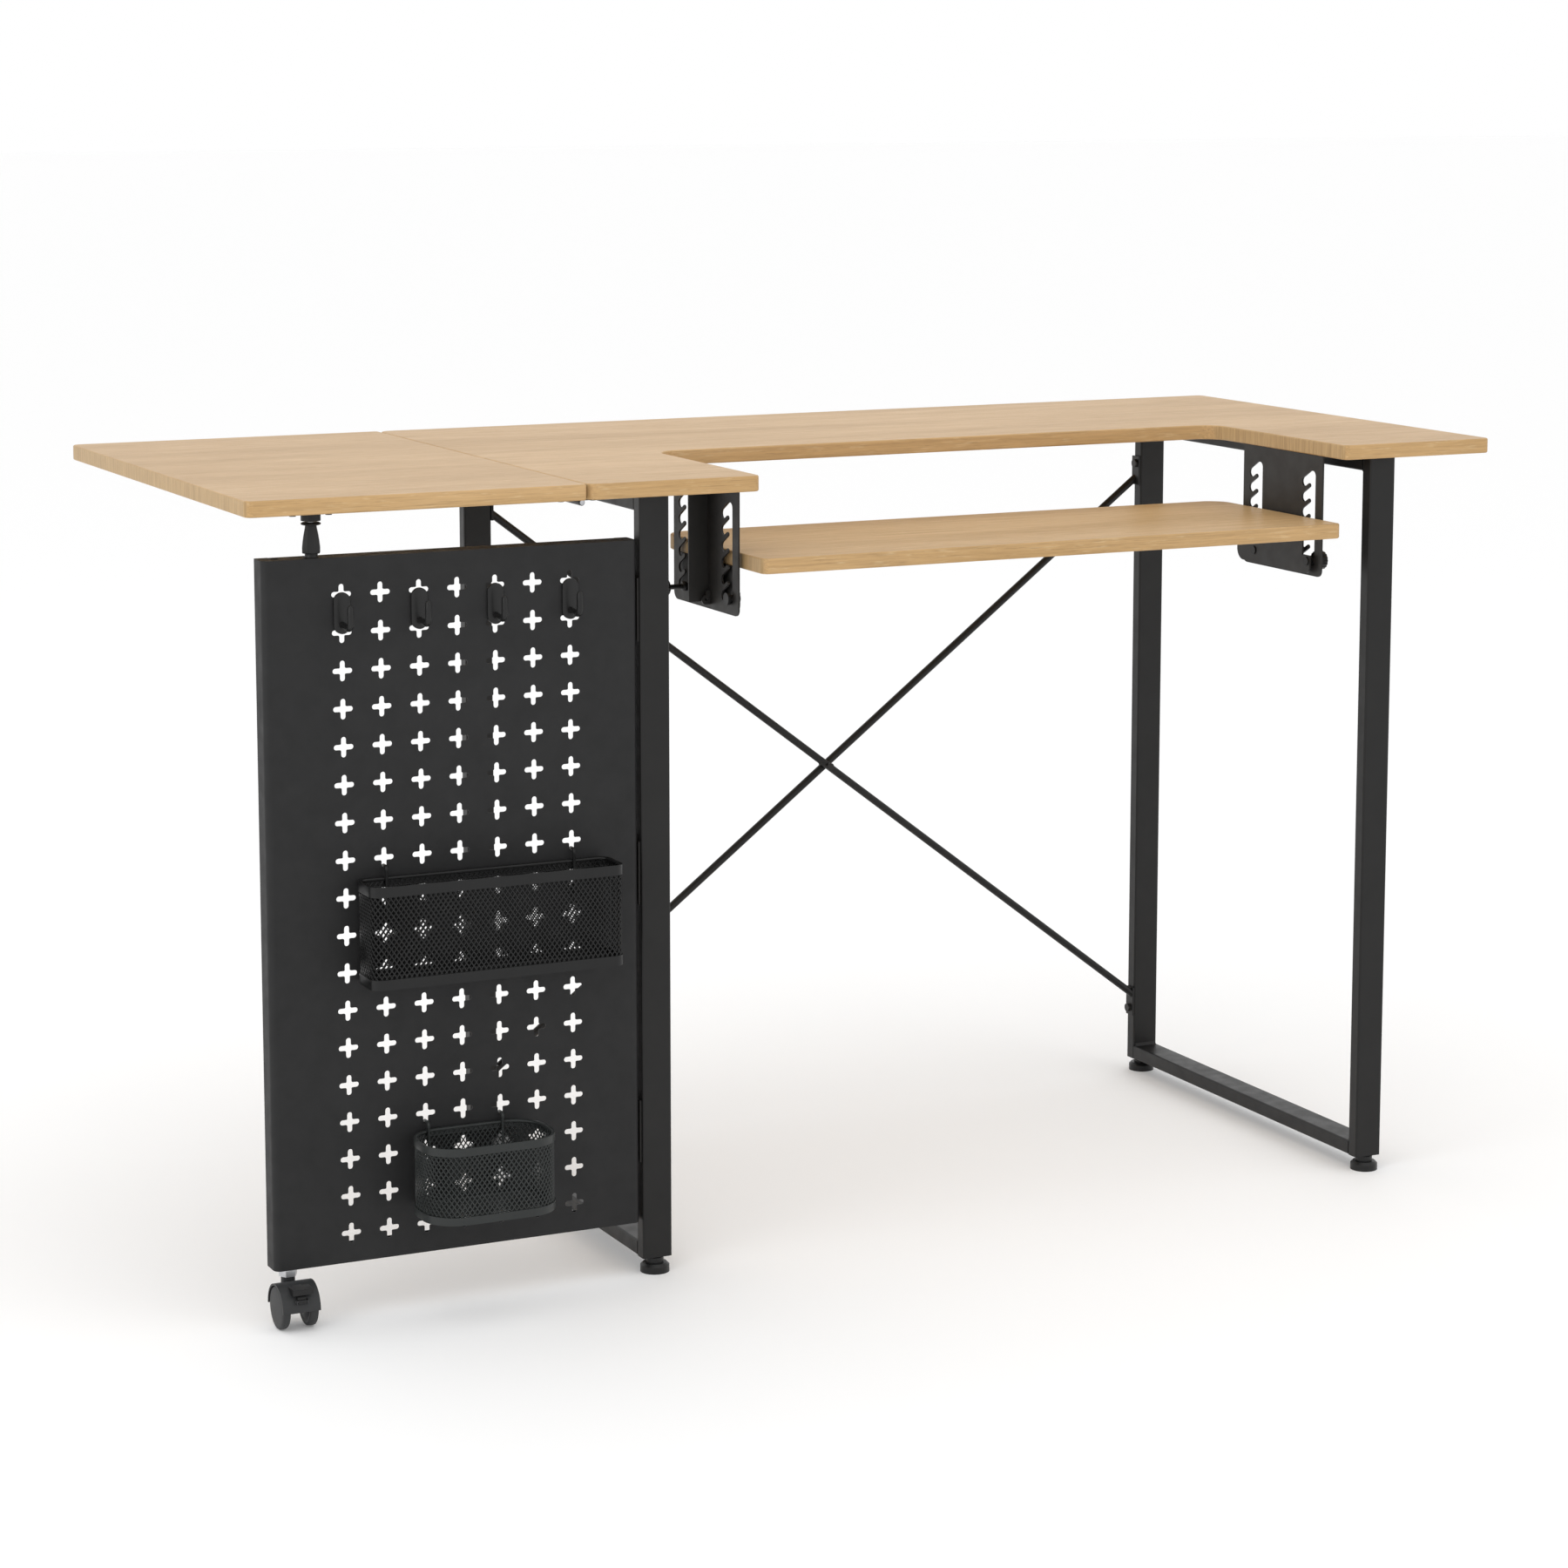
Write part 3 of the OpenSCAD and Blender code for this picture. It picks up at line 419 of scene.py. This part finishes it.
board("lift_board", "platform_board", WOOD_LIFT, "platform",
      [(LIFT_X0, LIFT_Y0, TIP_R), (LIFT_X1, LIFT_Y0, TIP_R),
       (LIFT_X1, LIFT_Y1, LIFT_R), (LIFT_X0, LIFT_Y1, LIFT_R)], LIFT_Z0, LIFT_Z1)


# ---------------------------------------------------------------- panel sheet

SHEET_X0, SHEET_X1, SHEET_FRONT, SHEET_REAR, SHEET_Z0, SHEET_Z1 = box_mm("panel_sheet")
COLUMNS, ROWS = 7, 18
CROSS_X, CROSS_Z = -351.1, 672.4   # the middle of the cross at the top right
PITCH_X, PITCH_Z = 36.95, 34.85
CROSS_HALF, ARM_R, CROSS_FILLET = 9.5, 2.5, 1.0


def column_x(i):
    return CROSS_X - i * PITCH_X


def row_z(j):
    return CROSS_Z - j * PITCH_Z


def cross_outline(cx, cz):
    """A plus with round ends and small fillets in its inner corners."""
    quarter = []
    for a in range(-90, 91, 30):
        c, s = math.cos(math.radians(a)), math.sin(math.radians(a))
        quarter.append((CROSS_HALF - ARM_R + ARM_R * c, ARM_R * s))
    for a in range(-90, -181, -45):
        c, s = math.cos(math.radians(a)), math.sin(math.radians(a))
        quarter.append((ARM_R + CROSS_FILLET * (1 + c), ARM_R + CROSS_FILLET * (1 + s)))
    return [(cx + x * c - z * s, cz + x * s + z * c)
            for c, s in ((1, 0), (0, 1), (-1, 0), (0, -1)) for x, z in quarter]


def sheet_with_holes(name, outer, holes, y0, y1):
    """An upright sheet from y0 to y1 with holes: a filled 2D curve with a thickness, as a mesh."""
    curve = bpy.data.curves.new(name, "CURVE")
    curve.dimensions = "2D"
    curve.fill_mode = "BOTH"
    curve.extrude = (y1 - y0) / 2 * MM
    for outline in [outer] + holes:
        spline = curve.splines.new("POLY")
        spline.points.add(len(outline) - 1)
        for point, (x, z) in zip(spline.points, outline):
            point.co = (x * MM, z * MM, 0, 1)
        spline.use_cyclic_u = True
    drawn = link_new(name, curve)
    graph = bpy.context.evaluated_depsgraph_get()
    mesh = bpy.data.meshes.new_from_object(drawn.evaluated_get(graph))
    bpy.data.objects.remove(drawn)
    bpy.data.curves.remove(curve)
    bm = bmesh.new()
    bm.from_mesh(mesh)
    bpy.data.meshes.remove(mesh)
    for vertex in bm.verts:
        x, z, y = vertex.co / MM
        vertex.co = at(x, (y0 + y1) / 2 + y, z)
    bmesh.ops.remove_doubles(bm, verts=bm.verts, dist=1e-6)
    return to_mesh(bm, name)


crosses = [cross_outline(column_x(i), row_z(j)) for i in range(COLUMNS) for j in range(ROWS)]
sheet_edge = [(SHEET_X0, SHEET_Z0), (SHEET_X1, SHEET_Z0), (SHEET_X1, SHEET_Z1), (SHEET_X0, SHEET_Z1)]
finish_piece("panel_face", sheet_with_holes("panel_face", sheet_edge, crosses, SHEET_FRONT, SHEET_REAR),
             PANEL, "panel", "panel_sheet")


# ---------------------------------------------------------------- hooks

HOOK_COLUMNS = (0, 2, 4, 6)
BACK_R = 8.0       # half the width of the backplate
BACK_LIFT = 0.02   # keeps it clear of the sheet
BACK_Z0, BACK_Z1 = row_z(1) + 7, row_z(0) - 6   # the middles of its round ends
BACK_THICK, BACK_DOME, BACK_INSET = 2.5, 0.5, 0.93
PEG_Z = (row_z(1) + 4, row_z(0) - 4)
PEG_R, PEG_SIDES = 2.0, 12
ROOT_Y, PEG_END_Y = SHEET_FRONT - 1, SHEET_FRONT + 5
FINGER_Z = row_z(1) + 6
FINGER_R, FINGER_SIDES = 3.0, 16
BEND_Y, BEND_R = SHEET_FRONT - 18, 6.0
TIP_HEIGHTS, TIP_RADII = (14, 19.5, 21.4), (FINGER_R, 2.8, 1.4)


def arc(r, start, stop, step):
    """Offsets on a circle of radius r, in degrees from start to stop."""
    return [(r * math.cos(math.radians(a)), r * math.sin(math.radians(a)))
            for a in range(start, stop + 1, step)]


def hook_into(bm, x):
    """A domed backplate with two pegs behind it and an upturned finger in front."""
    outline = [(u, BACK_Z1 + v) for u, v in arc(BACK_R, 0, 180, 10)]
    outline += [(u, BACK_Z0 + v) for u, v in arc(BACK_R, 180, 360, 10)]
    rings = []
    for y, inset in ((SHEET_FRONT - BACK_LIFT, 1), (SHEET_FRONT - BACK_THICK + BACK_DOME, 1),
                     (SHEET_FRONT - BACK_THICK, BACK_INSET)):
        rings.append([bm.verts.new(at(x + u * inset, y, z)) for u, z in outline])
    skin(bm, rings)
    path = [at(x, ROOT_Y, FINGER_Z + 1.5), at(x, ROOT_Y - 4, FINGER_Z + 1)]
    path += [at(x, BEND_Y - v, FINGER_Z + BEND_R - u) for u, v in arc(BEND_R, 0, 90, 15)]
    straight = [FINGER_R] * len(path)
    path += [at(x, BEND_Y - BEND_R, FINGER_Z + height) for height in TIP_HEIGHTS]
    tube_into(bm, path, straight + list(TIP_RADII), FINGER_SIDES)
    for z in PEG_Z:
        tube_into(bm, [at(x, ROOT_Y, z), at(x, PEG_END_Y, z)], PEG_R, PEG_SIDES)


bm = bmesh.new()
for i in HOOK_COLUMNS:
    hook_into(bm, column_x(i))
finish_piece("hooks", to_mesh(bm, "hooks"), PLASTIC, "panel", "peg_hooks", angle=50)


# ---------------------------------------------------------------- baskets

CELL, RISE = 4.8, 3.3        # a diamond's width, and half its height
STRAND_R, STRAND_SIDES = 0.74, 4
NET_INSET, NET_END = 1.4, 1  # from the bands' outside, and from their ends, to the net
FLOOR_LIFT = 0.3             # of the flat net over the foot of the wall
NET_ARC, BAND_ARC = 5, 6     # degrees for one cut of a corner
BAND_THICK, BEAD_R, LIP_R = 1.0, 1.6, 0.8
WIRE_R, WIRE_SIDES, WIRE_BEND, WIRE_TAIL = 1.5, 10, 3.5, 3
WIRE_DROP = 7.5              # from the middle of a cross to the top of the wire in it
WIRE_BACK_Y = SHEET_FRONT + 1.5


def basket_outline(box, r, inset, step):
    """The basket's rounded plan, drawn in by inset on every side."""
    x0, x1, y0, y1 = box[0] + inset, box[1] - inset, box[2] + inset, box[3] - inset
    r -= inset
    return round_outline([(x0, y0, r), (x1, y0, r), (x1, y1, r), (x0, y1, r)], step)


def even_points(outline, step):
    """An even number of points, about step apart all the way round the outline."""
    sides = list(zip(outline, outline[1:] + outline[:1]))
    lengths = [math.dist(a, b) for a, b in sides]
    total = sum(lengths)
    n = round(total / step)
    n += n % 2
    points = []
    i = 0
    passed = 0.0
    for k in range(n):
        want = total * k / n
        while passed + lengths[i] < want:
            passed += lengths[i]
            i += 1
        (ax, ay), (bx, by) = sides[i]
        part = (want - passed) / lengths[i] if lengths[i] else 0
        points.append((ax + (bx - ax) * part, ay + (by - ay) * part))
    return points


def wall_net_into(bm, box, r):
    """Two leaning families of strands round the wall that meet at the knots."""
    ring = even_points(basket_outline(box, r, NET_INSET, NET_ARC), CELL / 2)
    z0, z1 = box[4] + NET_END, box[5] - NET_END
    rows = round((z1 - z0) / RISE)
    for start in range(0, len(ring), 2):
        for way in (1, -1):
            places = [ring[(start + way * k) % len(ring)] for k in range(rows + 1)]
            path = [at(x, y, z0 + k * (z1 - z0) / rows) for k, (x, y) in enumerate(places)]
            tube_into(bm, path, STRAND_R, STRAND_SIDES)


def floor_net_into(bm, box, r):
    """The same net laid flat and cut at the rounded plan."""
    x0, x1, y0, y1 = box[0] + NET_INSET, box[1] - NET_INSET, box[2] + NET_INSET, box[3] - NET_INSET
    r -= NET_INSET
    z = box[4] + NET_END + FLOOR_LIFT
    slack = 1e-6

    def inside(x, y):
        nearest_x = min(max(x, x0 + r), x1 - r)
        nearest_y = min(max(y, y0 + r), y1 - r)
        return x0 <= x <= x1 and (x - nearest_x) ** 2 + (y - nearest_y) ** 2 <= r ** 2 + slack

    lines = int((x1 - x0 + y1 - y0) / CELL) + 2
    for way in (1, -1):
        for k in range(-lines, lines * 2):
            run = []
            y = y0
            while y <= y1 + slack:
                x = x0 + k * CELL + way * (y - y0) * (CELL / 2) / RISE
                if inside(x, y):
                    run.append(at(x, y, z))
                y += RISE / 2
            if len(run) > 2:
                tube_into(bm, run, STRAND_R, STRAND_SIDES)


def bands_into(bm, box, r, height):
    """The bottom and top bands: a strip each, with a bead on its free edge and a lip on the other."""
    z0, z1 = box[4:]
    outer = basket_outline(box, r, 0, BAND_ARC)
    inner = basket_outline(box, r, BAND_THICK, BAND_ARC)
    for low, high in ((z0, z0 + height), (z1 - height, z1)):
        levels = ((outer, low), (outer, high), (inner, high), (inner, low))
        skin(bm, [[bm.verts.new(at(x, y, z)) for x, y in plan] for plan, z in levels], closed=True)
    for z, bead, sides in ((z0 + BEAD_R, BEAD_R, 10), (z1 - BEAD_R, BEAD_R, 10),
                           (z1 - height + LIP_R, LIP_R, 8), (z0 + height - LIP_R, LIP_R, 8)):
        path = [at(x, y, z) for x, y in basket_outline(box, r, bead, BAND_ARC)]
        tube_into(bm, path, bead, sides, closed=True)


def hanger_into(bm, x, wall, top, foot):
    """A bent wire: up the basket's back wall, through a cross of the sheet and down behind it."""
    bend = arc(WIRE_BEND, 0, 90, 15)
    z = top - WIRE_BEND
    path = [at(x, wall, foot), at(x, wall, z - 0.5)]
    path += [at(x, wall + WIRE_BEND - u, z + v) for u, v in bend]
    path += [at(x, WIRE_BACK_Y + v, z + u) for u, v in bend]
    path.append(at(x, WIRE_BACK_Y + WIRE_BEND, z - WIRE_TAIL))
    tube_into(bm, path, WIRE_R, WIRE_SIDES)


def basket(size, material, r, band_height, row, hangers, foot):
    """A basket in the box of its CAD bands. Each hanger is a column of crosses and a y to rise at."""
    name, body = f"{size}_basket", f"{size}_basket_body"
    box = box_mm(f"{name}_bands")
    net, bands, wires = bmesh.new(), bmesh.new(), bmesh.new()
    wall_net_into(net, box, r)
    floor_net_into(net, box, r)
    bands_into(bands, box, r, band_height)
    for column, wall in hangers:
        hanger_into(wires, column_x(column), wall, row_z(row) - WIRE_DROP, foot)
    for piece, bm, node, angle in ((f"{name}_net", net, name, 80),
                                   (f"{name}_rims", bands, f"{name}_bands", 50),
                                   (f"{name}_hangers", wires, f"{name}_wires", 50)):
        finish_piece(piece, to_mesh(bm, piece), material, body, node, angle=angle)


basket("large", WIRE_LARGE, r=10, band_height=9.5, row=7, hangers=((0, -266.8), (5, -266.8)),
       foot=376)
basket("small", WIRE_SMALL, r=32, band_height=7.5, row=14, hangers=((2, -266.8), (4, -268.45)),
       foot=143)


# ---------------------------------------------------------------- knobs, wheels, lock guide

def turned(name, node, body, material, origin, axis, runs, angle, flutes=0, depth=0.0):
    """A piece turned about one axis, from runs of (profile, sides)."""
    bm = bmesh.new()
    for profile, sides in runs:
        lathe_into(bm, profile, origin, axis, sides, flutes, depth)
    finish_piece(name, to_mesh(bm, name), material, body, node, angle=angle)


def middle(low, high):
    return (low + high) / 2


STUD_Z = middle(*box_mm("slide_studs")[4:])
STUD_BORE_R, COLLAR_R, KNOB_ROD_R = 3.58, 4.65, 2.5
COLLAR_LENGTH, FLUTES, FLUTE_DEPTH = 4.6, 16, 0.55


def knob(side, way, rod, head_r):
    """A fluted head on the stud's axis, and on a long knob a collar and a thin rod before it."""
    node = f"{side}_clamp_knob"
    x0, x1, y0, y1 = box_mm(node)[:4]
    end = x1 - x0
    profile = [(0.0, STUD_BORE_R), (0.0, COLLAR_R - 0.45), (0.4, COLLAR_R)]
    if rod > COLLAR_LENGTH:
        profile += [(COLLAR_LENGTH - 0.4, COLLAR_R), (COLLAR_LENGTH, COLLAR_R - 0.45),
                    (COLLAR_LENGTH, KNOB_ROD_R), (rod, KNOB_ROD_R)]
    profile += [(rod, COLLAR_R), (rod, head_r - 1.4), (rod + 0.7, head_r - 0.3),
                (rod + 1.6, head_r), (end - 1.6, head_r), (end - 0.7, head_r - 0.4),
                (end - 0.2, head_r - 1.4), (end, head_r - 2.6), (end, 3.0), (end - 0.5, 0.4)]
    origin = at(x0 if way > 0 else x1, middle(y0, y1), STUD_Z)
    turned(f"{side}_knob_grip", node, f"{side}_knob", PLASTIC, origin, (way, 0, 0),
           [(profile, 96)], 50, FLUTES, FLUTE_DEPTH)


knob("left", way=-1, rod=19.4, head_r=8.0)
knob("right", way=1, rod=1.4, head_r=9.5)


def wheel(side, way):
    """A narrow wheel with a rounded tread and a smooth, slightly crowned outer face."""
    node = f"caster_{side}_wheel"
    x0, x1, y0, y1, z0, z1 = box_mm(node)
    profile = [(0.0, 2.56), (0.0, 12.0), (0.6, 12.8), (0.6, 15.6), (0.0, 16.4), (0.0, 17.6),
               (0.5, 18.9), (1.4, 19.7), (2.6, 20.0), (6.2, 20.0), (7.2, 19.7), (7.8, 19.0),
               (8.2, 17.8), (8.45, 15.0), (8.6, 10.0), (8.7, 5.0), (8.7, 0.4)]
    origin = at(x0 if way > 0 else x1, middle(y0, y1), middle(z0, z1))
    turned(f"{side}_wheel", node, f"wheel_{side}", TREAD, origin, (way, 0, 0), [(profile, 80)], 40)


wheel("left", way=-1)
wheel("right", way=1)


def lock_guide(bore_r):
    """The guide of the lock pin: a neck, a faceted cone and a rolled collar."""
    neck = [(0, bore_r), (0, 6.3), (0.6, 6.3), (1.4, 5.9), (3.5, 5.9), (3.5, bore_r)]
    cone = [(3.5, bore_r), (3.5, 8.0), (4.1, 8.6), (9.0, 8.6), (15.0, 7.9), (21.0, 6.9),
            (26.5, 5.7), (29.0, 5.4), (29.0, bore_r)]
    collar = [(29.0, bore_r), (29.0, 7.6), (29.5, 8.8), (30.2, 9.2), (30.9, 8.8), (31.5, 7.6),
              (31.5, bore_r)]
    x0, x1, y0, y1, z0, _ = box_mm("lock_housing")
    turned("lock_guide", "lock_housing", "panel", PLASTIC, at(middle(x0, x1), middle(y0, y1), z0),
           (0, 0, 1), [(neck, 48), (cone, 8), (collar, 48)], 30)


lock_guide(bore_r=3.1)


# ---------------------------------------------------------------- camera, floor, light

CAMERA_PLACE = (-1.7394, -3.5864, 1.1581)
CAMERA_YAW, CAMERA_PITCH = math.radians(25.624), math.radians(8.317)
LENS, SENSOR, SHIFT = 91.02, 36, -0.10
FLOOR_HALF = 40.0
FLOOR_GREY, FLOOR_GLOW, FLOOR_ROUGH = 0.90, 0.08, 0.75
LIGHTS = (("top", (0.0, -0.6, 3.4), (0, 0, 0.5), (3.2, 2.4), 12),
          ("left", (-3.6, -1.2, 1.8), (0, 0, 0.4), (2.0, 2.4), 22),
          ("front_right", (2.6, -3.6, 2.2), (0.1, 0, 0.4), (1.8, 2.0), 6))

lens = bpy.data.cameras.new("camera")
lens.sensor_width = SENSOR
lens.lens = LENS
lens.shift_y = SHIFT
lens.clip_end = 60
camera = link_new("camera", lens)
camera.location = CAMERA_PLACE
camera.rotation_euler = (math.pi / 2 - CAMERA_PITCH, 0, -CAMERA_YAW)
bpy.context.scene.camera = camera

plane = bpy.data.meshes.new("floor")
corners = [(x * FLOOR_HALF, y * FLOOR_HALF, 0) for x, y in ((-1, -1), (1, -1), (1, 1), (-1, 1))]
plane.from_pydata(corners, [], [(0, 1, 2, 3)])
floor = link_new("floor", plane)
floor_material, _, shader = new_material("floor")
shader.inputs["Base Color"].default_value = (FLOOR_GREY, FLOOR_GREY, FLOOR_GREY, 1)
shader.inputs["Emission Color"].default_value = (1, 1, 1, 1)
shader.inputs["Emission Strength"].default_value = FLOOR_GLOW
shader.inputs["Roughness"].default_value = FLOOR_ROUGH
plane.materials.append(floor_material)

world = bpy.data.worlds.new("world")
bpy.context.scene.world = world
world.use_nodes = True
world.node_tree.nodes["Background"].inputs["Color"].default_value = (1, 1, 1, 1)
world.node_tree.nodes["Background"].inputs["Strength"].default_value = 1.0
bpy.context.scene.view_settings.view_transform = "Standard"

for name, place, aim, (width, height), watts in LIGHTS:
    light = bpy.data.lights.new(name, "AREA")
    light.shape = "RECTANGLE"
    light.size = width
    light.size_y = height
    light.energy = watts
    lamp = link_new(name, light)
    lamp.location = place
    lamp.rotation_euler = (Vector(aim) - Vector(place)).to_track_quat("-Z", "Y").to_euler()
